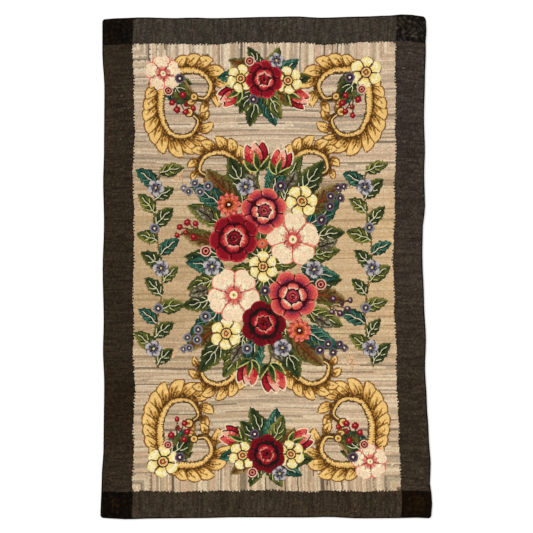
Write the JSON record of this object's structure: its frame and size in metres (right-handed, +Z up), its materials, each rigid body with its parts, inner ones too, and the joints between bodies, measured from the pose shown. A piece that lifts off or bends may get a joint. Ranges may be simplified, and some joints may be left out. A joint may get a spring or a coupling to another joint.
{
  "type": "hooked rug",
  "caption": "Rectangular hooked wool rug with a dark border, corner squares, a floral field and a whipped edge.",
  "frame": {"origin": "middle of the underside, half way between the outermost points of the uneven outline", "axes": "+X across the width, +Y along the length towards the top end of the design, +Z up out of the pile"},
  "size_m": [1.0108, 1.5374, 0.0094],
  "materials": {
    "hooked_wool": "matt wool loops",
    "binding_yarn": "matt wool yarn"
  },
  "bodies": {
    "root": {"hooked_cloth": "hooked_wool", "whipped_binding": "binding_yarn"}
  },
  "joints": []
}
